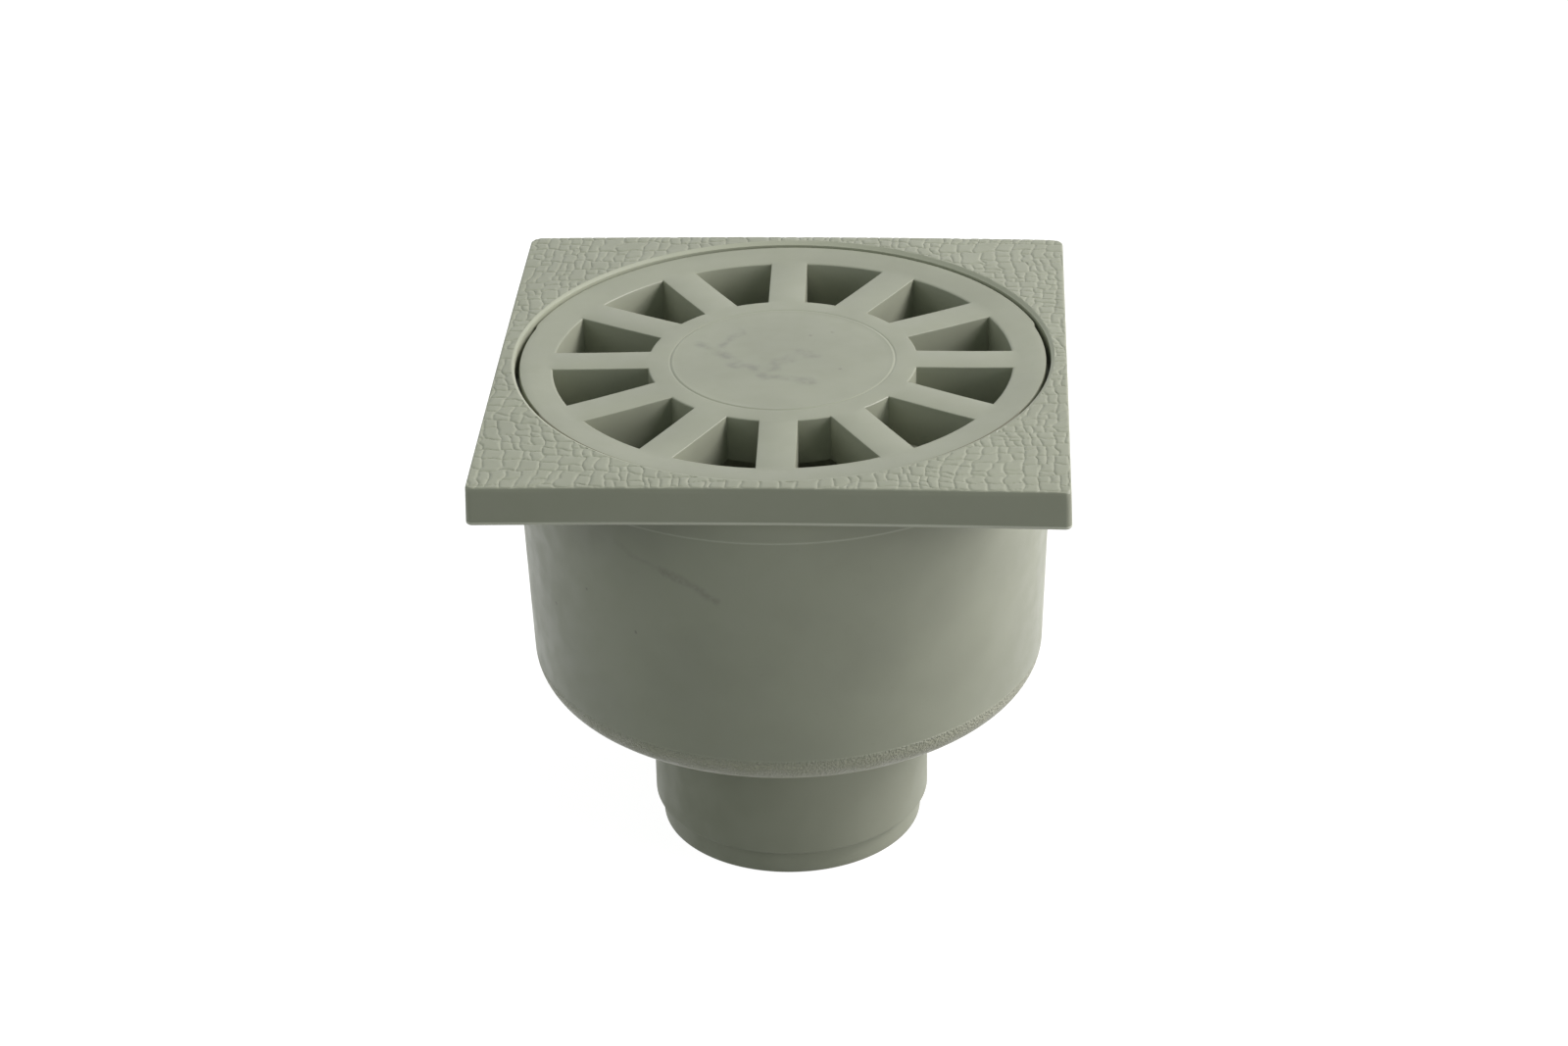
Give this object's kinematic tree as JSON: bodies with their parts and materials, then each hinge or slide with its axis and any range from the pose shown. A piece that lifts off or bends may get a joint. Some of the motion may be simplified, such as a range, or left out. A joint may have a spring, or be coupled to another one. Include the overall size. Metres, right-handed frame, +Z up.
{
  "type": "yard gully",
  "caption": "Yard gully: square plate with a loose round slotted grating over a tapered bowl with a bell trap and a stepped round outlet below.",
  "frame": {"origin": "centre of the outlet's end ring, on the common axis of bowl and outlet", "axes": "+Z up along the bowl's axis, out of the plate's top; +X and +Y along the plate's sides, +Y to its back"},
  "size_m": [0.1488, 0.1488, 0.1387],
  "materials": {
    "body_grey": "satin",
    "grating_grey": "satin",
    "bell_grey": "satin"
  },
  "bodies": {
    "root": {"gully_body": "body_grey", "grating": "grating_grey", "bell": "bell_grey"}
  },
  "joints": []
}
